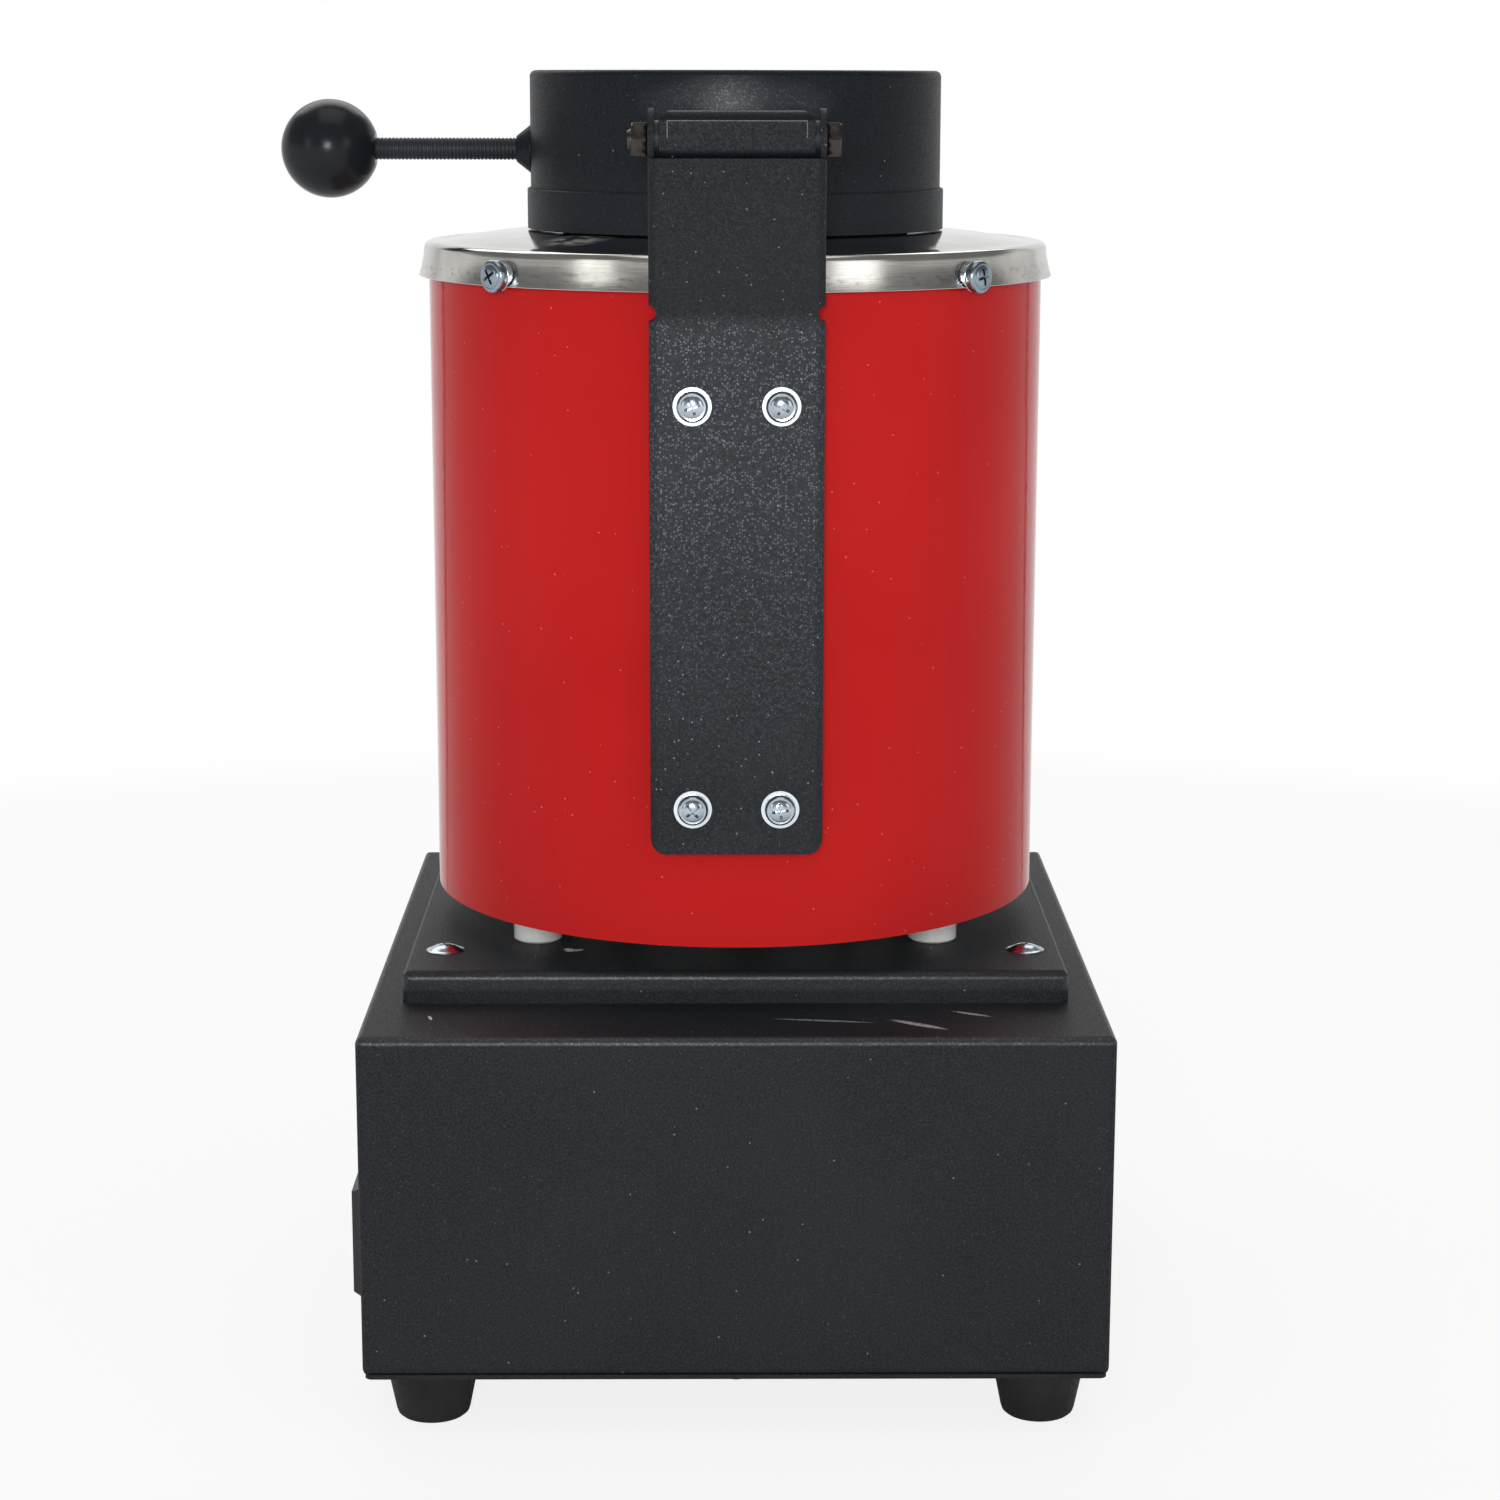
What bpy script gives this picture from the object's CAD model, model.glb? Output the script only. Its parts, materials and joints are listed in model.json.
import json
import math

import bmesh
import bpy
from mathutils import Matrix, Vector


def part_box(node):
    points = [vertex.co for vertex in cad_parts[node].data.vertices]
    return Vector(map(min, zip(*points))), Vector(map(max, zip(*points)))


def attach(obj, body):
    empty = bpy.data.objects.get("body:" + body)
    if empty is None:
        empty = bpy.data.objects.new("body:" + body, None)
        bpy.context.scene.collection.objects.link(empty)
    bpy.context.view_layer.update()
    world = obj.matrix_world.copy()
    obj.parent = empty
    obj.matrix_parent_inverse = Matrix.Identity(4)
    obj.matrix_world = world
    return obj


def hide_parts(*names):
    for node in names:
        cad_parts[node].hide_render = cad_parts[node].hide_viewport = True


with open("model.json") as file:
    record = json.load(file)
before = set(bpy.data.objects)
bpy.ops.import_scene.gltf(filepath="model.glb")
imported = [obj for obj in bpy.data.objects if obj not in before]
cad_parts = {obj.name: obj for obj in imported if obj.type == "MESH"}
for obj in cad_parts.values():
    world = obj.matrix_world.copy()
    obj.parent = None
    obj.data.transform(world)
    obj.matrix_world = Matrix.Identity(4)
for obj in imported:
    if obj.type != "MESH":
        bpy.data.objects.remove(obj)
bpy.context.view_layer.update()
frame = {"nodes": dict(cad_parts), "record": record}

MM = 0.001
ORIGIN = Matrix.Identity(4)
scene = bpy.context.scene
slot_of = {s["node"]: s["material_slot"] for s in frame["record"]["subparts"]}


# Shader nodes


class Look:
    """A procedural material, built node by node on the object's own coordinates."""

    def __init__(self, name, color, roughness, **sockets):
        self.mat = bpy.data.materials.new(name)
        self.mat.use_nodes = True
        self.nodes = self.mat.node_tree.nodes
        self.links = self.mat.node_tree.links
        self.shader = self.nodes["Principled BSDF"]
        self.at = self.add("TexCoord").outputs["Object"]
        self.normal = None
        self.set(Base_Color=color, Roughness=roughness, **sockets)

    def add(self, kind, values=(), **props):
        node = self.nodes.new("ShaderNode" + kind)
        for key, value in props.items():
            setattr(node, key, value)
        for key, value in dict(values).items():
            self.put(node.inputs[key], value)
        return node

    def put(self, socket, value):
        if isinstance(value, bpy.types.NodeSocket):
            self.links.new(value, socket)
        elif socket.type == "RGBA" and len(value) == 3:
            socket.default_value = (*value, 1)
        else:
            socket.default_value = value

    def set(self, **sockets):
        for key, value in sockets.items():
            self.put(self.shader.inputs[key.replace("_", " ")], value)

    def stretch(self, scale):
        return self.add("Mapping", {"Vector": self.at, "Scale": scale}).outputs["Vector"]

    def noise(self, scale, detail=2.0, at=None, rough=0.5):
        values = {"Vector": at or self.at, "Scale": scale, "Detail": detail, "Roughness": rough}
        return self.add("TexNoise", values).outputs["Fac"]

    def math(self, operation, a, b=0.5):
        return self.add("Math", {0: a, 1: b}, operation=operation).outputs[0]

    def times(self, a, b):
        return self.math("MULTIPLY", a, b)

    def larger(self, a, b):
        return self.math("MAXIMUM", a, b)

    def remap(self, value, low, high, to_low=0.0, to_high=1.0):
        """Maps one range to another and holds the value inside it."""
        values = {
            "Value": value,
            "From Min": low,
            "From Max": high,
            "To Min": to_low,
            "To Max": to_high,
        }
        return self.add("MapRange", values).outputs["Result"]

    def mix(self, share, a, b):
        node = self.add("Mix", {0: share}, data_type="RGBA")
        self.put(node.inputs[6], a)
        self.put(node.inputs[7], b)
        return node.outputs[2]

    def bump(self, height, strength, distance):
        values = {"Height": height, "Strength": strength, "Distance": distance}
        self.normal = self.add("Bump", values).outputs["Normal"]
        self.set(Normal=self.normal)

    def specks(self, scale, size, share):
        """Mask of small round spots, one in each of some cells."""
        cell = self.add("TexVoronoi", {"Vector": self.at, "Scale": scale}).outputs
        spot = self.remap(cell["Distance"], size * 0.6, size, 1.0, 0.0)
        pick = self.add("SeparateColor", {"Color": cell["Color"]}).outputs["Red"]
        return self.times(spot, self.math("GREATER_THAN", pick, 1 - share))

    def length(self, vector):
        return self.add("VectorMath", {0: vector}, operation="LENGTH").outputs["Value"]

    def mark(self, place, size, turn, inner=0.6):
        """Mask of one oval mark; place and half sizes in millimetres, turn in degrees about Z."""
        values = {
            "Vector": self.at,
            "Location": [v * MM for v in place],
            "Rotation": (0, 0, math.radians(turn)),
            "Scale": [v * MM for v in size],
        }
        local = self.add("Mapping", values, vector_type="TEXTURE").outputs["Vector"]
        return self.remap(self.length(local), inner, 1.0, 1.0, 0.0)

    def parts(self):
        return self.add("SeparateXYZ", {"Vector": self.at}).outputs

    def height(self):
        return self.parts()["Z"]

    def about_z(self, turns, rise, out):
        """Coordinates that run round the Z axis, up and outwards, each with its own scale."""
        part = self.parts()
        angle = self.math("ARCTAN2", part["Y"], part["X"])
        squares = [self.math("POWER", part[key], 2.0) for key in ("X", "Y")]
        radius = self.math("SQRT", self.math("ADD", *squares))
        values = {
            "X": self.times(angle, turns),
            "Y": self.times(part["Z"], rise),
            "Z": self.times(radius, out),
        }
        return self.add("CombineXYZ", values).outputs["Vector"]


# Kinds of surface

SMALL_SPECK = (0.06, 0.066, 0.075)
BRIGHT_SPECK = (0.2, 0.215, 0.235)
SCRATCH = (0.85, 0.86, 0.88)
RUBBED_DUST = (0.26, 0.36, 0.48)
STEEL = (0.66, 0.64, 0.6)

# Heights in metres above the table
CAP_FOLD = (0.2962, 0.2971)
CAP_STAINS = (0.2883, 0.293)


def coat(name, dark, light, roughness, grain, sparkle, marks=(), specular=0.2):
    """Powder coat: fine lumps, a slow change of tone and sparse bright specks."""
    look = Look(name, dark, roughness, Specular_IOR_Level=specular)
    fine = look.noise(1800, 3, rough=0.6)
    slow = look.noise(18, 3)
    tone = look.mix(look.remap(fine, 0.4, 0.62), dark, light)
    tone = look.mix(look.remap(slow, 0.35, 0.65, 0.0, 0.35), tone, [c * 1.15 for c in light])
    tone = look.mix(look.specks(1500, 0.3, sparkle * 1.5), tone, SMALL_SPECK)
    tone = look.mix(look.specks(900, 0.24, sparkle * 0.35), tone, BRIGHT_SPECK)
    for place, size, turn, strength in marks:
        mask = look.times(look.mark(place, size, turn), strength)
        broken = look.times(mask, look.remap(look.noise(900, 3), 0.32, 0.46))
        tone = look.mix(broken, tone, SCRATCH)
    rough = look.remap(fine, 0.35, 0.65, roughness + 0.08, roughness - 0.08)
    look.set(Base_Color=tone, Roughness=rough)
    look.bump(fine, grain, 0.0002)
    return look


def tint(look, zone, color):
    """Shifts a look's own colour towards another in one zone."""
    base = look.shader.inputs["Base Color"].links[0].from_socket
    look.set(Base_Color=look.mix(zone, base, color))


def polish(look, zone, roughness, dusty, even=0.4):
    """Makes the grain of a coat shine in one zone, as where hands and cloths have rubbed it."""
    dots = look.remap(look.specks(1600, 0.5, 0.42), 0.0, 1.0, even, 1.0)
    shine = look.times(zone, dots)
    look.set(Coat_Weight=shine, Coat_Roughness=roughness, Coat_IOR=1.6, Coat_Normal=look.normal)
    tint(look, look.times(shine, dusty), RUBBED_DUST)


def height_band(look, low, high, soft):
    """Mask of what lies between two heights in metres, with soft limits."""
    up = look.height()
    above = look.remap(up, low, low + soft)
    return look.times(above, look.remap(up, high - soft, high, 1.0, 0.0))


def metal(name, color, roughness, grain=0.0, blotch=0.15, along=None):
    look = Look(name, color, roughness, Metallic=1.0)
    cloud = look.remap(look.noise(90, 4), 0.35, 0.7)
    fine = look.noise(1.0, 3, along(look)) if along else look.noise(900, 3)
    look.set(
        Base_Color=look.mix(cloud, [c * (1 - blotch) for c in color], color),
        Roughness=look.remap(fine, 0.3, 0.7, roughness * 0.8, roughness * 1.25),
    )
    if grain:
        look.bump(fine, grain, 0.0001)
    return look


def moulded(name, color, roughness, grain=0.08, scale=1200, **sockets):
    look = Look(name, color, roughness, **sockets)
    fine = look.noise(scale, 2)
    slow = look.remap(look.noise(30, 3), 0.3, 0.7)
    dark, light = [c * 0.85 for c in color], [min(c * 1.12, 1) for c in color]
    look.set(
        Base_Color=look.mix(slow, dark, light),
        Roughness=look.remap(fine, 0.3, 0.7, roughness * 0.85, roughness * 1.15),
    )
    look.bump(fine, grain, 0.0001)
    return look


def refractory(name, color, pale, scale, rough_bump):
    look = Look(name, color, 0.9, Specular_IOR_Level=0.2)
    lump = look.noise(scale, 6, rough=0.65)
    tone = look.mix(look.remap(lump, 0.3, 0.7), color, pale)
    pits = look.times(look.specks(420, 0.3, 0.2), 0.5)
    look.set(Base_Color=look.mix(pits, tone, [c * 0.45 for c in color]))
    look.bump(lump, rough_bump, 0.0008)
    return look


def paint_red():
    look = Look("gloss_red_paint", (0.5, 0.012, 0.012), 0.08, Specular_IOR_Level=0.08)
    slow = look.noise(14, 3)
    tone = look.mix(look.remap(slow, 0.3, 0.7), (0.47, 0.0085, 0.0085), (0.53, 0.0125, 0.012))
    dust = look.larger(look.specks(260, 0.075, 0.2), look.specks(620, 0.16, 0.035))
    tone = look.mix(look.times(dust, 0.5), tone, (0.75, 0.3, 0.27))
    look.set(Base_Color=tone, Roughness=look.remap(look.noise(60, 3), 0.3, 0.7, 0.05, 0.11))
    look.bump(look.noise(320, 2), 0.05, 0.0006)
    return look


def brushed(look):
    return look.about_z(6.0, 5200.0, 5200.0)


def drawn(look):
    return look.stretch((3500, 60, 3500))


def cap_steel():
    """Brushed skirt with darker streaks, and a top that mirrors what stands on it."""
    look = metal("spun_stainless", STEEL, 0.2, 0.1, 0.2, brushed)
    skirt = look.remap(look.noise(1.0, 3, brushed(look)), 0.3, 0.7, 0.15, 0.26)
    top = look.remap(look.noise(160, 4), 0.3, 0.75, 0.05, 0.13)
    change = look.times(look.remap(look.height(), *CAP_FOLD), look.math("SUBTRACT", top, skirt))
    look.set(Roughness=look.math("ADD", skirt, change), Specular_Tint=(0.93, 0.94, 0.95))
    streaks = look.noise(1.0, 4, look.about_z(26.0, 700.0, 700.0))
    stain = look.remap(streaks, 0.52, 0.7, 0.0, 0.55)
    tint(look, look.times(stain, height_band(look, *CAP_STAINS, 0.0014)), (0.27, 0.25, 0.23))
    ragged = look.remap(look.noise(230, 4), 0.42, 0.56, 0.0, 0.5)
    scuff = look.times(look.mark((40, 48, 298.6), (10, 11, 5), -20, 0.5), ragged)
    tint(look, scuff, (0.97, 0.975, 0.99))
    look.set(Metallic=look.remap(scuff, 0.0, 1.0, 1.0, 0.0))
    return look


def sleeve(name, color, pale, scale=900):
    look = Look(name, color, 0.65)
    values = {"Vector": look.at, "Scale": scale, "Distortion": 1.5}
    weave = look.add("TexWave", values).outputs["Fac"]
    look.set(Base_Color=look.mix(look.remap(weave, 0.3, 0.7), color, pale))
    look.bump(weave, 0.3, 0.0002)
    return look


def window_red():
    look = Look("smoked_red_window", (0.035, 0.003, 0.003), 0.12, Coat_Weight=0.5, Coat_Roughness=0.05)
    haze = look.noise(120, 3)
    look.set(Roughness=look.remap(haze, 0.3, 0.7, 0.09, 0.18))
    look.bump(look.noise(1500, 2), 0.02, 0.0001)
    return look


def fibre():
    look = Look("ceramic_fibre", (0.82, 0.81, 0.77), 0.95, Specular_IOR_Level=0.1)
    strands = look.noise(1.0, 5, look.stretch((900, 900, 220)), 0.7)
    tone = look.mix(look.remap(strands, 0.3, 0.7), (0.72, 0.7, 0.64), (0.9, 0.89, 0.86))
    look.set(Base_Color=tone)
    look.bump(strands, 0.6, 0.0006)
    return look


def graphite():
    look = Look("graphite", (0.035, 0.035, 0.038), 0.5, Metallic=0.35)
    turned = look.noise(1.0, 3, look.about_z(3.0, 2600.0, 2600.0))
    grime = look.noise(70, 4)
    look.set(
        Base_Color=look.mix(look.remap(grime, 0.35, 0.7), (0.022, 0.022, 0.024), (0.055, 0.054, 0.056)),
        Roughness=look.remap(turned, 0.3, 0.7, 0.38, 0.6),
    )
    look.bump(turned, 0.15, 0.0002)
    return look


def rubber():
    look = Look("black_rubber", (0.012, 0.012, 0.012), 0.6, Specular_IOR_Level=0.3)
    fine = look.noise(700, 4)
    cloud = look.noise(60, 3)
    look.set(
        Base_Color=look.mix(look.remap(cloud, 0.3, 0.7), (0.008, 0.008, 0.0085), (0.02, 0.02, 0.019)),
        Roughness=look.remap(fine, 0.3, 0.7, 0.5, 0.72),
    )
    look.bump(fine, 0.2, 0.0002)
    return look


# Looks of the slots, then those of single pieces

BLACK_COAT = (0.0082, 0.0095, 0.0115), (0.0205, 0.0238, 0.0285)
LID_COAT = (0.0047, 0.0063, 0.0089), (0.0104, 0.0135, 0.0186)

# Marks as (place, half sizes, turn, strength), in millimetres and degrees
TRAY_MARKS = [
    ((42.4, 48.0, 113.9), (3.0, 1.1, 2), 24, 1.0),
    ((44.0, 47.0, 113.9), (1.6, 1.5, 2), -35, 1.0),
]
BASE_MARKS = [
    ((77.7, 82.3, 105.5), (0.5, 2.2, 2), 15, 0.7),
    ((-46.0, 88.5, 105.5), (9.0, 1.4, 2), -32, 0.45),
    ((-60.0, 79.0, 105.5), (6.0, 0.9, 2), -28, 0.4),
    ((-22.0, 85.0, 105.5), (14.0, 0.8, 2), -8, 0.3),
]

# Heights in metres above the table
BASE_EDGE = (0.1033, 0.1056)
TRAY_LIP = (0.1085, 0.1137)
TRAY_TOP = (0.1137, 0.1139)
RUB_START = (0.165, 0.24)
RUB_FADE = (0.235, 0.283)
RUB_END = (0.2795, 0.2832)
ABOVE_KINK = (0.281, 0.2835)
LID_FOOT = (0.3, 0.318)

rocker_shine = {"Coat_Weight": 0.4, "Coat_Roughness": 0.08}
glaze_shine = {"Coat_Weight": 0.6, "Coat_Roughness": 0.06}
ball_shine = {"Specular_IOR_Level": 0.17}
looks = {
    "black_coat": coat("black_powder_coat", *BLACK_COAT, 0.62, 0.35, 0.03, BASE_MARKS),
    "lid_coat": coat("black_lid_coat", *LID_COAT, 0.46, 0.2, 0.02, specular=0.14),
    "red_paint": paint_red(),
    "stainless": metal("brushed_stainless", STEEL, 0.2, 0.1, 0.2, brushed),
    "zinc": metal("bright_zinc", (0.7, 0.75, 0.8), 0.24, 0.05, 0.25),
    "dark_steel": metal("browned_steel", (0.115, 0.1, 0.09), 0.32, 0.1, 0.5),
    "coil_wire": metal("oxidised_heater_wire", (0.2, 0.18, 0.165), 0.5, 0.15, 0.4),
    "black_rubber": rubber(),
    "black_plastic": moulded("black_plastic", (0.014, 0.014, 0.015), 0.42),
    "bezel_plastic": moulded("bezel_plastic", (0.022, 0.022, 0.024), 0.45, 0.15, 1600),
    "key_plastic": moulded("key_plastic", (0.45, 0.45, 0.43), 0.4, 0.1),
    "rocker_plastic": moulded("rocker_plastic", (0.42, 0.012, 0.01), 0.22, 0.02, **rocker_shine),
    "knob_plastic": moulded("ball_plastic", (0.0125, 0.015, 0.0185), 0.24, 0.03, 300, **ball_shine),
    "window_glass": window_red(),
    "white_ceramic": moulded("glazed_ceramic", (0.89, 0.88, 0.87), 0.16, 0.04, 300, **glaze_shine),
    "firebrick": refractory("refractory_ceramic", (0.6, 0.53, 0.43), (0.8, 0.75, 0.66), 160, 0.35),
    "fibre": fibre(),
    "graphite": graphite(),
    "heat_sink_alloy": metal("drawn_aluminium", (0.62, 0.63, 0.65), 0.34, 0.12, 0.12, drawn),
    "wire_sleeve_mains": sleeve("mains_sleeve", (0.02, 0.02, 0.022), (0.03, 0.03, 0.032), 300),
    "wire_sleeve_heater": sleeve("heater_sleeve", (0.6, 0.57, 0.5), (0.8, 0.78, 0.72)),
    "wire_sleeve_signal": sleeve("signal_sleeve", (0.35, 0.03, 0.02), (0.5, 0.06, 0.05), 600),
}
tray_look = coat("black_tray_coat", *BLACK_COAT, 0.6, 0.35, 0.03, TRAY_MARKS)
bracket_look = coat("black_bracket_coat", *BLACK_COAT, 0.62, 0.35, 0.2)
plated = metal("blue_plated_steel", (0.56, 0.63, 0.69), 0.2, 0.05, 0.35)
bright = metal("bright_plated_steel", (0.78, 0.83, 0.88), 0.3, 0.08, 0.2)
dull_plated = metal("grey_plated_steel", (0.36, 0.43, 0.49), 0.24, 0.08, 0.4)
blackened = moulded(
    "blackened_steel", (0.019, 0.024, 0.031), 0.5, 0.15, 900, Specular_IOR_Level=0.3
)
burnt = refractory("burnt_refractory", (0.05, 0.045, 0.04), (0.11, 0.1, 0.09), 300, 0.4)


def wear():
    """Rubs the coats where hands, cloths and heat have worked on them."""
    base, lid = looks["black_coat"], looks["lid_coat"]
    polish(base, height_band(base, *BASE_EDGE, 0.0005), 0.35, 0.03)

    lip = tray_look.times(height_band(tray_look, *TRAY_LIP, 0.0012), 0.7)
    top = tray_look.remap(tray_look.height(), *TRAY_TOP, 0.0, 0.16)
    polish(tray_look, tray_look.larger(lip, top), 0.28, 0.02, 0.5)

    up = bracket_look.height()
    end = bracket_look.remap(up, *RUB_END, 1.0, 0.0)
    rubbed = bracket_look.times(bracket_look.remap(up, *RUB_START), end)
    rubbed = bracket_look.times(rubbed, bracket_look.remap(up, *RUB_FADE, 1.0, 0.72))
    polish(bracket_look, rubbed, 0.3, 0.1, 0.12)
    above = bracket_look.remap(up, *ABOVE_KINK, 0.0, 0.3)
    tint(bracket_look, above, (0.0055, 0.0065, 0.008))

    tint(lid, lid.remap(lid.height(), *LID_FOOT, 0.4, 0.0), (0.03, 0.036, 0.044))
    polish(lid, lid.mark((0, 52, 333.5), (27, 16, 7), 0, 0.2), 0.4, 0.09)


wear()
look_of_node = {
    "support_tray": tray_look,
    "hinge_bracket": bracket_look,
    "bracket_washers": bright,
    "mouth_ring": burnt,
    "hinge_washers": blackened,
}
for node, obj in frame["nodes"].items():
    look = look_of_node.get(node, looks[slot_of[node]])
    obj.data.materials.clear()
    obj.data.materials.append(look.mat)


# Pieces made as meshes


def in_scene(name, data):
    obj = bpy.data.objects.new(name, data)
    scene.collection.objects.link(obj)
    return obj


def piece(name, bm, body, look, nodes=(), angle=35):
    """Makes an object of a mesh, lets it ride on a body and stand for CAD nodes."""
    mesh = bpy.data.meshes.new(name)
    bm.normal_update()
    bm.to_mesh(mesh)
    bm.free()
    mesh.shade_smooth()
    mesh.set_sharp_from_angle(angle=math.radians(angle))
    mesh.materials.append(look.mat)
    obj = in_scene(name, mesh)
    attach(obj, body)
    if nodes:
        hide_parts(*nodes)


def vertex(bm, place, x, y, z):
    """A vertex at a point in millimetres, given in the axes of a place."""
    return bm.verts.new(place @ Vector((x * MM, y * MM, z * MM)))


def wall(bm, floor, roof):
    """Faces that join two rows of vertices all the way round."""
    for i in range(len(floor)):
        j = (i + 1) % len(floor)
        bm.faces.new([floor[i], floor[j], roof[j], roof[i]])


def lathe(bm, profile, steps, place=ORIGIN):
    """Turns a profile of (radius, height) in millimetres round the local Z axis."""
    turn = [2 * math.pi * i / steps for i in range(steps)]
    rings = []
    for r, z in profile:
        if r < 1e-6:
            rings.append([vertex(bm, place, 0, 0, z)])
        else:
            rings.append([vertex(bm, place, r * math.cos(a), r * math.sin(a), z) for a in turn])
    for low, high in zip(rings, rings[1:]):
        for i in range(steps):
            j = (i + 1) % steps
            corners = [low[i % len(low)], low[j % len(low)]]
            corners += [high[j % len(high)], high[i % len(high)]]
            corners = list(dict.fromkeys(corners))
            if len(corners) > 2:
                bm.faces.new(corners)


def ring_solid(profile, steps):
    """A solid turned from a closed profile, with its first and last ring joined."""
    bm = bmesh.new()
    lathe(bm, profile, steps)
    bmesh.ops.remove_doubles(bm, verts=bm.verts, dist=1e-7)
    bmesh.ops.recalc_face_normals(bm, faces=bm.faces)
    return bm


def prism(bm, outline, low, high, place):
    """A plate with an outline of (x, y) in millimetres between two heights."""
    floor = [vertex(bm, place, x, y, low) for x, y in outline]
    roof = [vertex(bm, place, x, y, high) for x, y in outline]
    bm.faces.new(list(reversed(floor)))
    bm.faces.new(roof)
    wall(bm, floor, roof)


def cut_away(target, cutter):
    """Takes one mesh out of another and returns what is left."""
    pair = []
    for bm, name in ((target, "cut_target"), (cutter, "cut_tool")):
        mesh = bpy.data.meshes.new(name)
        bmesh.ops.recalc_face_normals(bm, faces=bm.faces)
        bm.to_mesh(mesh)
        bm.free()
        pair.append(in_scene(name, mesh))
    job = pair[0].modifiers.new("cut", "BOOLEAN")
    job.operation = "DIFFERENCE"
    job.solver = "EXACT"
    job.object = pair[1]
    done = pair[0].evaluated_get(bpy.context.evaluated_depsgraph_get())
    left = bmesh.new()
    left.from_mesh(done.to_mesh())
    done.to_mesh_clear()
    for obj in pair:
        bpy.data.objects.remove(obj)
    return left


def phillips_screw(profile, reach):
    """A turned screw whose head has a cross recess, standing on the local XY plane."""
    body = bmesh.new()
    lathe(body, profile, SCREW_STEPS)
    tool = bmesh.new()
    top = profile[0][1]
    w = reach * 0.17
    cross = [
        (w, w), (w, reach), (-w, reach), (-w, w), (-reach, w), (-reach, -w),
        (-w, -w), (-w, -reach), (w, -reach), (w, -w), (reach, -w), (reach, w),
    ]
    deep = 0.62 * reach
    floor = [vertex(tool, ORIGIN, x * 0.55, y * 0.55, top - deep) for x, y in cross]
    roof = [vertex(tool, ORIGIN, x, y, top + 0.3) for x, y in cross]
    tool.faces.new(floor)
    tool.faces.new(roof)
    wall(tool, floor, roof)
    return cut_away(body, tool)


def repeated(source, places):
    """One mesh holding a copy of the source at each place."""
    mesh = bpy.data.meshes.new("copy")
    source.to_mesh(mesh)
    source.free()
    whole = bmesh.new()
    for place in places:
        start = len(whole.verts)
        whole.from_mesh(mesh)
        whole.verts.ensure_lookup_table()
        bmesh.ops.transform(whole, matrix=place, verts=whole.verts[start:])
    bpy.data.meshes.remove(mesh)
    return whole


def facing(at, out, turn=0.0):
    """A place in millimetres whose local Z axis points outwards."""
    tilt = Vector(out).to_track_quat("Z", "Y").to_matrix().to_4x4()
    return Matrix.Translation(Vector(at) * MM) @ tilt @ Matrix.Rotation(math.radians(turn), 4, "Z")


def box_mm(node):
    low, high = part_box(node)
    return low / MM, high / MM


# Screws; profiles as (radius, height) in millimetres

SCREW_STEPS = 48
BRACKET_SEAT = 2.9
BRACKET_SCREW = [
    (0, 2.55), (1.2, 2.5), (2.1, 2.3), (2.7, 1.98), (2.86, 1.84), (3.0, 1.86), (3.3, 1.9),
    (3.62, 1.55), (3.86, 1.0), (3.9, 0.6), (3.82, 0), (2.0, 0), (1.95, -10), (0, -10),
]
CAP_HEAD_R = 4.1
CAP_HEAD_H = 2.8
CAP_SCREW = [
    (0, CAP_HEAD_H), (1.7, 2.76), (2.5, 2.58), (2.85, 2.3), (3.0, 2.16), (3.2, 2.22),
    (3.65, 2.12), (3.95, 1.8), (CAP_HEAD_R, 1.45), (CAP_HEAD_R, 0.25), (3.9, 0), (3.05, 0),
    (3.0, -0.6), (2.0, -0.6), (1.95, -9), (0, -9),
]
CAP_COLLAR = [
    (2.1, -0.5), (3.7, -0.5), (3.8, -0.62), (3.8, -1.58), (3.7, -1.68), (2.1, -1.68),
    (2.1, -0.5),
]
TRAY_SEAT = 3.2
TRAY_SCREW = [
    (0, 1.7), (1.2, 1.64), (2.3, 1.42), (3.2, 1.05), (3.9, 0.65), (4.4, 0.42), (4.8, 0.36),
    (5.0, 0.2), (4.95, 0), (2.5, 0), (2.45, -14), (0, -14),
]


def screw_set(name, node, profile, reach, look, places):
    """Four screws of one kind in place of a CAD node."""
    heads = repeated(phillips_screw(profile, reach), places)
    piece(name, heads, "furnace", look, [node])


low, high = box_mm("bracket_screws")
inset = 3.9
left, right, lower, upper = low.x + inset, high.x - inset, low.z + inset, high.z - inset
screw_set("bracket_screw_heads", "bracket_screws", BRACKET_SCREW, 2.4, plated, [
    facing((x, high.y - BRACKET_SEAT, z), (0, 1, 0), turn)
    for x, z, turn in (
        (left, lower, 8), (right, lower, 40), (left, upper, 62), (right, upper, 20),
    )
])

low, high = box_mm("cap_screws")
head_at = high.y / math.sqrt(0.5) - CAP_HEAD_R - CAP_HEAD_H
places = []
for quarter, turn in enumerate((30, 12, 55, 75)):
    a = math.radians(45 + 90 * quarter)
    out = Vector((math.cos(a), math.sin(a), 0))
    places.append(facing(out * head_at + Vector((0, 0, (low.z + high.z) / 2)), out, turn))
screw_set("cap_screw_heads", "cap_screws", CAP_SCREW, 2.4, dull_plated, places)
collars = repeated(ring_solid(CAP_COLLAR, SCREW_STEPS), places)
piece("cap_screw_collars", collars, "furnace", bright)

low, high = box_mm("tray_screws")
inset = 5
left, right, near, far = low.x + inset, high.x - inset, low.y + inset, high.y - inset
screw_set("tray_screw_heads", "tray_screws", TRAY_SCREW, 2.1, plated, [
    facing((x, y, high.z - TRAY_SEAT), (0, 0, 1), turn)
    for x, y, turn in ((left, near, 10), (right, near, 35), (left, far, 60), (right, far, 25))
])


# Spun cap: its top rises under the lid and falls in a curve to the fold

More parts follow.
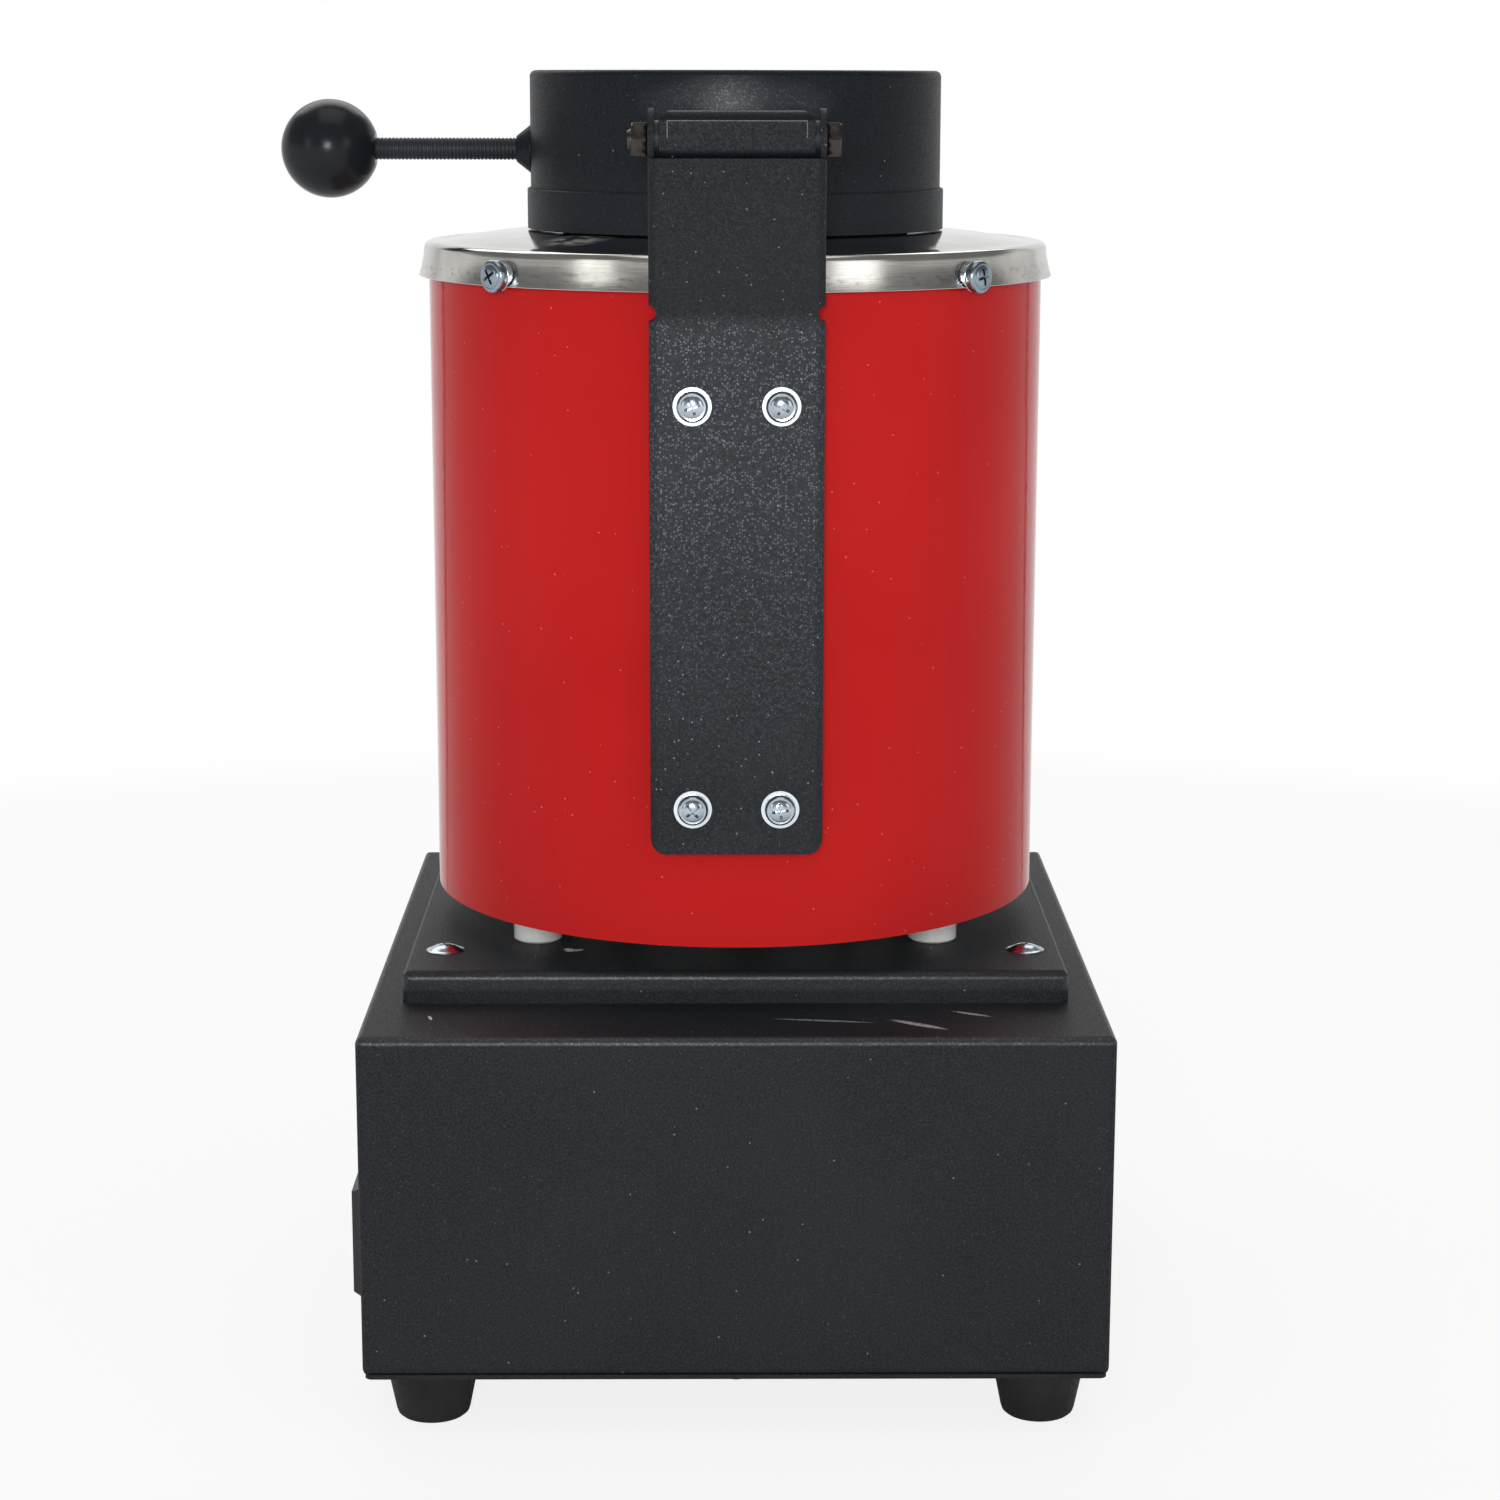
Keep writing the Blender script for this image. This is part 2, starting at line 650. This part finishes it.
CAP_SHEET = 0.8
CAP_BEND = 2.0
CAP_FLARE = 1.4
MOUTH_BEND = 1
CROWN_GAP = 0.5
CROWN_CURVE = 1.4
low, high = box_mm("barrel_cap")
collar_low, collar_high = box_mm("lid_collar")
skirt_r, skirt_z = high.x, low.z
fold_r, fold_z = skirt_r - CAP_FLARE, high.z
mouth_r = 47.5
crown_z = collar_low.z - CROWN_GAP
crown_in = collar_high.x
crown_out = 77.0


def crown(t, down=0.0):
    rise = (crown_z - fold_z) * (1 - t ** CROWN_CURVE)
    return crown_in + (crown_out - crown_in) * t, fold_z + rise - down


def flare(t, inwards=0.0):
    top = fold_z - CAP_BEND
    out = (skirt_r - fold_r) * (0.35 * t + 0.65 * t * t)
    return fold_r + out - inwards, top + (skirt_z + 0.15 - top) * t


def bend(x, z, r, angles):
    return [(x + r * math.cos(math.radians(a)), z + r * math.sin(math.radians(a))) for a in angles]


mouth_bend = mouth_r + MOUTH_BEND, crown_z - MOUTH_BEND
fold_bend = fold_r - CAP_BEND, fold_z - CAP_BEND
steps = [i / 12 for i in range(13)]
outside = [(mouth_r, fold_z - CAP_SHEET)] + bend(*mouth_bend, MOUTH_BEND, (180, 150, 120, 90))
outside += [crown(t) for t in steps]
outside += bend(*fold_bend, CAP_BEND, (90, 75, 60, 45, 30, 15, 0))
outside += [flare(t / 6) for t in range(1, 7)]
outside += [(skirt_r - 0.1, skirt_z), (skirt_r - CAP_SHEET, skirt_z)]
inside = [flare(t / 6, CAP_SHEET) for t in range(5, 0, -1)]
inside += bend(*fold_bend, CAP_BEND - CAP_SHEET, (0, 30, 60, 90))
inside += [crown(t, CAP_SHEET) for t in reversed(steps)]
inside += bend(*mouth_bend, MOUTH_BEND - CAP_SHEET, (90, 180))
inside += [(mouth_r + CAP_SHEET, fold_z - CAP_SHEET)]
cap = ring_solid(outside + inside + outside[:1], 192)
piece("spun_cap", cap, "furnace", cap_steel(), ["barrel_cap"])


# Edge of the arm's closed end, drawn as the line that it shows there

ARM_LINE_Z = 329.25
ARM_LINE_INSET = 2.0
ARM_LINE_LEG = 4.0
HALF_LINE = 0.12
low, high = box_mm("lid_arm")
half = (high.x - low.x) / 2 - ARM_LINE_INSET
outer, inner = half + HALF_LINE, half - HALF_LINE
outline = [
    (-outer, -ARM_LINE_LEG), (-inner, -ARM_LINE_LEG), (-inner, -HALF_LINE),
    (inner, -HALF_LINE), (inner, -ARM_LINE_LEG), (outer, -ARM_LINE_LEG),
    (outer, HALF_LINE), (-outer, HALF_LINE),
]
edge = bmesh.new()
prism(edge, outline, -0.3, 0.1, facing(((low.x + high.x) / 2, high.y, ARM_LINE_Z), (0, 1, 0)))
bmesh.ops.recalc_face_normals(edge, faces=edge.faces)
worn_edge = moulded("worn_coat_edge", (0.052, 0.058, 0.066), 0.4)
piece("arm_edge", edge, "lid", worn_edge)


# Rubber feet: a taper with a rounded lower edge round the recess of the screw

FOOT_R = 12.2
FOOT_LOW_R = 9.3
FOOT_INSET = 11
FOOT_BORE = 2.2
RECESS_R = 5
RECESS_TOP = 10.2
low, high = box_mm("rubber_feet")
centre = (high + low) / 2
spread = (high - low) / 2 - Vector((FOOT_INSET, FOOT_INSET, 0))
foot_profile = [
    (RECESS_R, RECESS_TOP), (RECESS_R, 0.6), (5.3, 0.2), (5.8, 0), (FOOT_LOW_R - 1.6, 0),
    (FOOT_LOW_R - 0.8, 0.2), (FOOT_LOW_R - 0.1, 0.8), (FOOT_LOW_R + 0.25, 1.8),
    (FOOT_R - 0.15, high.z - 1), (FOOT_R, high.z - 0.5), (FOOT_R, high.z),
    (FOOT_BORE, high.z), (FOOT_BORE, RECESS_TOP), (RECESS_R, RECESS_TOP),
]
foot_places = [
    Matrix.Translation((
        centre.x * MM + x * spread.x * MM, centre.y * MM + y * spread.y * MM, 0,
    ))
    for x in (-1, 1)
    for y in (-1, 1)
]
feet = repeated(ring_solid(foot_profile, 64), foot_places)
piece("turned_feet", feet, "furnace", looks["black_rubber"], ["rubber_feet"])


# Hinge bolt and nut

HEX_ACROSS = 8
HEX_STEPS = 24
HEX_EASE = 0.45
HEX_END = 0.485
BOLT_HEAD = 3.6
BOLT_R = 2.5
BOLT_TURNS = 7
BOLT_PITCH = 0.8


def hexagon(bm, low, high, place):
    """A hexagon with its corners turned off at both ends."""
    end = HEX_END * HEX_ACROSS
    levels = [(low, end), (low + HEX_EASE, HEX_ACROSS), (high - HEX_EASE, HEX_ACROSS), (high, end)]
    step = 360 / HEX_STEPS
    rows = []
    for z, limit in levels:
        row = []
        for i in range(HEX_STEPS):
            a = math.radians(step * i)
            flat = HEX_ACROSS / 2 / math.cos(math.radians(step * i % 60 - 30))
            r = min(flat, limit)
            row.append(vertex(bm, place, r * math.cos(a), r * math.sin(a), z))
        rows.append(row)
    bm.faces.new(list(reversed(rows[0])))
    bm.faces.new(rows[-1])
    for a, b in zip(rows, rows[1:]):
        wall(bm, a, b)


low, high = box_mm("hinge_bolt")
nut_low, nut_high = box_mm("hinge_nut")
axis = (low + high) / 2
length = high.x - low.x
along = facing((low.x, axis.y, axis.z), (1, 0, 0))
bolt = bmesh.new()
hexagon(bolt, 0, BOLT_HEAD, along)
shank = [(0, 3.4), (BOLT_R, 3.4), (BOLT_R, length - 6.2)]
for i in range(BOLT_TURNS):
    start = length - 6.0 + BOLT_PITCH * i
    shank += [(2.1, start), (2.47, start + 0.3), (2.47, start + 0.5)]
shank += [(2.0, length), (0, length)]
lathe(bolt, shank, 32, along)
dark_steel = looks["dark_steel"]
piece("hinge_bolt_turned", bolt, "furnace", dark_steel, ["hinge_bolt"])
nut = bmesh.new()
hexagon(nut, 0, nut_high.x - nut_low.x, facing((nut_low.x, axis.y, axis.z), (1, 0, 0)))
piece("hinge_nut_turned", nut, "furnace", dark_steel, ["hinge_nut"])


# Marks of the front panel

PRINT = 0.015
PRINT_UNDER = 0.05
ARROW = [(-1.3, -0.9), (1.3, -0.9), (0, 1.3)]
ROCKER_AT = (52, -99, 61.2)
ROCKER_REST = 10
SEGMENT_LOW = -0.02
SEGMENT_HIGH = 0.03
SEGMENT_SLANT = 0.12
DOT_R = 0.55


def front(node):
    """A place on the front of a node, facing the user."""
    low, high = box_mm(node)
    middle = (low + high) / 2
    return facing((middle.x, low.y, middle.z), (0, -1, 0))


def ring(bm, inner, outer, place):
    profile = [(inner, -PRINT_UNDER), (inner, PRINT), (outer, PRINT), (outer, -PRINT_UNDER)]
    lathe(bm, profile + profile[:1], 32, place)


def shifted(place, x, y):
    return place @ Matrix.Translation((x * MM, y * MM, 0))


for node, turn in (("key_set", None), ("key_shift", 90), ("key_down", 180), ("key_up", 0)):
    place = front(node)
    bm = bmesh.new()
    if turn is None:
        ring(bm, 0.7, 1.15, place)
    else:
        turned = place @ Matrix.Rotation(math.radians(turn), 4, "Z")
        prism(bm, ARROW, -PRINT_UNDER, PRINT, turned)
    piece(node + "_symbol", bm, node + "_body", looks["bezel_plastic"])

rest_tilt = Matrix.Rotation(math.radians(ROCKER_REST), 4, "X")
rocker = Matrix.Translation(Vector(ROCKER_AT) * MM) @ rest_tilt
bm = bmesh.new()
upper = rocker @ facing((0, -6.7, 5.0), (0, -0.976, -0.216))
lower = rocker @ facing((0, -6.7, -5.0), (0, -0.976, 0.216))
prism(bm, [(-0.45, -2.3), (0.45, -2.3), (0.45, 2.3), (-0.45, 2.3)], -0.1, PRINT, upper)
ring(bm, 1.5, 2.3, lower)
piece("rocker_marks", bm, "rocker", looks["key_plastic"])


def digit(bm, place, w, h, t):
    """Seven bars of one place of a display, as they look unlit."""
    g = t * 0.62
    lying, standing = w - 2 * g, h / 2 - 2 * g
    bars = [(0, y, lying, False) for y in (h / 2, 0, -h / 2)]
    bars += [(x, y, standing, True) for y in (h / 4, -h / 4) for x in (-w / 2, w / 2)]
    for x, y, long_way, upright in bars:
        a, b = long_way / 2, t / 2
        bar = [(-a - b, 0), (-a, -b), (a, -b), (a + b, 0), (a, b), (-a, b)]
        if upright:
            bar = [(-v, u) for u, v in bar]
        slanted = [(x + u + SEGMENT_SLANT * (y + v), y + v) for u, v in bar]
        prism(bm, slanted, SEGMENT_LOW, SEGMENT_HIGH, place)


place = front("display_window")
bm = bmesh.new()
for i in range(4):
    digit(bm, shifted(place, -10.5 + 7.2 * i, 4.3), 4.4, 8.0, 0.95)
    digit(bm, shifted(place, -7.0 + 5.0 * i, -5.6), 2.9, 5.2, 0.65)
dot = [(0, SEGMENT_HIGH), (DOT_R, SEGMENT_HIGH), (DOT_R, SEGMENT_LOW), (0, SEGMENT_LOW)]
for y in (5.5, 2.5, -0.5):
    lathe(bm, dot, 20, shifted(place, -15.8, y))
segments = moulded("unlit_segments", (0.1, 0.012, 0.01), 0.3)
piece("display_segments", bm, "furnace", segments)


# Handle rod with its thread

THREAD_PITCH = 1.0
THREAD_STEPS = 28
THREAD_DEPTH = 0.3
CREST = (0.3, 0.7)
low, high = box_mm("handle_rod")
length = high.x - low.x
axis_z = (low.z + high.z) / 2
r_top = (high.z - low.z) / 2 - 0.005
r_root = r_top - THREAD_DEPTH
section = [(0, r_root)] + [(share, r_top - 0.02) for share in CREST]
bm = bmesh.new()
rings = []
turns = int((length - 2) / THREAD_PITCH)
for i in range(turns * THREAD_STEPS + 1):
    a = 2 * math.pi * i / THREAD_STEPS
    x = low.x + 0.8 + THREAD_PITCH * i / THREAD_STEPS
    rings.append([
        vertex(bm, ORIGIN, x + share * THREAD_PITCH, r * math.cos(a), axis_z + r * math.sin(a))
        for share, r in section
    ])
for i in range(len(rings) - 1):
    a, b = rings[i], rings[i + 1]
    for k in range(2):
        bm.faces.new([a[k], a[k + 1], b[k + 1], b[k]])
    if i + THREAD_STEPS + 1 < len(rings):
        c, d = rings[i + THREAD_STEPS], rings[i + THREAD_STEPS + 1]
        bm.faces.new([a[2], c[0], d[0], b[2]])
core = Matrix.Translation(Vector((low.x * MM, 0, axis_z * MM)))
core = core @ Matrix.Rotation(math.radians(90), 4, "Y")
core_r = r_root + 0.1
lathe(bm, [(0, 0), (core_r, 0), (core_r, length), (0, length)], THREAD_STEPS, core)
bmesh.ops.recalc_face_normals(bm, faces=bm.faces)
piece("handle_thread", bm, "lid", blackened, ["handle_rod"], 25)


# Camera, floor and light

CAMERA_AT = (4.585, 877.4, 338.6)
FOCAL_LENGTH = 78.012
PITCH = 0.203
YAW = 0.010
ROLL = 0.002
cam = bpy.data.cameras.new("camera")
cam.sensor_width = 36
cam.lens = FOCAL_LENGTH
cam.clip_start = 0.05
camera = in_scene("camera", cam)
ahead = Vector((-math.sin(YAW) * math.cos(PITCH), -math.cos(YAW) * math.cos(PITCH), -math.sin(PITCH)))
turned = ahead.to_track_quat("-Z", "Y").to_matrix().to_4x4() @ Matrix.Rotation(ROLL, 4, "Z")
camera.matrix_world = Matrix.Translation(Vector(CAMERA_AT) * MM) @ turned
scene.camera = camera

AMBIENT = 0.38
SEEN_WHITE = 0.84
LAMP_AIM = Vector((0, 0, 0.18))


def surroundings(look, behind, white):
    """Level of the room: a pale backdrop with a dark edge, then grey, then the lit side."""
    backdrop = look.remap(behind, -0.8, -0.79, white, 0.3)
    walls = look.remap(behind, -0.772, -0.76, 0.0, 0.8)
    lit = look.remap(behind, -0.3, 0.1)
    return look.larger(look.larger(backdrop, walls), lit)


def stage_floor():
    """A pale floor that goes over to plain white with the distance."""
    bm = bmesh.new()
    lathe(bm, [(0, 0), (300, 0), (900, 0), (2600, 0)], 96)
    mesh = bpy.data.meshes.new("floor")
    bm.to_mesh(mesh)
    bm.free()
    obj = in_scene("floor", mesh)
    look = Look("pale_floor", (0.93, 0.93, 0.93), 0.9, Specular_IOR_Level=0.05)
    ray = look.add("LightPath").outputs
    length = look.length(look.at)
    white = look.larger(look.remap(length, 0.25, 0.8), look.times(ray["Is Camera Ray"], SEEN_WHITE))
    room = surroundings(look, look.math("DIVIDE", look.parts()["Y"], length), 1.0)
    level = look.remap(ray["Is Glossy Ray"], 0.0, 1.0, 1.0, room)
    glow = look.add("Emission", {"Color": (1, 1, 1), "Strength": level}).outputs["Emission"]
    join = look.add("MixShader", {0: white, 1: look.shader.outputs["BSDF"], 2: glow})
    look.put(look.nodes["Material Output"].inputs["Surface"], join.outputs[0])
    mesh.materials.append(look.mat)


class Sky(Look):
    """The world's nodes, with the same helpers as a material's."""

    def __init__(self, world):
        world.use_nodes = True
        self.nodes, self.links = world.node_tree.nodes, world.node_tree.links
        self.at = self.add("TexCoord").outputs["Generated"]


def studio_sky():
    """Diffuse rays meet a dim even sky, the camera a white one; mirrors see it darken upwards."""
    scene.world = bpy.data.worlds.new("studio")
    sky = Sky(scene.world)
    way = sky.parts()
    ray = sky.add("LightPath").outputs
    rise = sky.math("SUBTRACT", way["Z"], sky.remap(way["Y"], -0.7, -0.3, 0.35, 0.0))
    upwards = sky.remap(rise, 0.02, 0.17, surroundings(sky, way["Y"], 0.93), 0.2)
    mirrored = sky.remap(ray["Is Glossy Ray"], 0.0, 1.0, AMBIENT, upwards)
    through = sky.remap(ray["Is Transmission Ray"], 0.0, 1.0, mirrored, 1.0)
    backing = sky.nodes["Background"]
    sky.put(backing.inputs["Strength"], sky.remap(ray["Is Camera Ray"], 0.0, 1.0, through, 1.0))
    sky.put(backing.inputs["Color"], (1, 1, 1))


def lamp(name, at, width, height, power):
    """A soft lamp that looks at the middle of the furnace."""
    light = bpy.data.lights.new(name, "AREA")
    light.shape = "RECTANGLE"
    light.size = width
    light.size_y = height
    light.energy = power
    obj = in_scene(name, light)
    obj.location = at
    obj.rotation_euler = (LAMP_AIM - Vector(at)).to_track_quat("-Z", "Y").to_euler()


stage_floor()
studio_sky()
lamp("key", (1.08, 0.88, 0.6), 0.35, 0.5, 0.85)
lamp("fill", (-0.86, 0.92, 0.6), 0.4, 0.5, 1.1)
lamp("camera_side", (0.12, 1.5, 0.54), 0.3, 0.3, 8.6)
lamp("front", (0.2, -1.25, 1.45), 2.0, 0.9, 11)
lamp("top", (0, 0.1, 1.6), 1.0, 1.0, 3.6)

scene.view_settings.view_transform = "Standard"
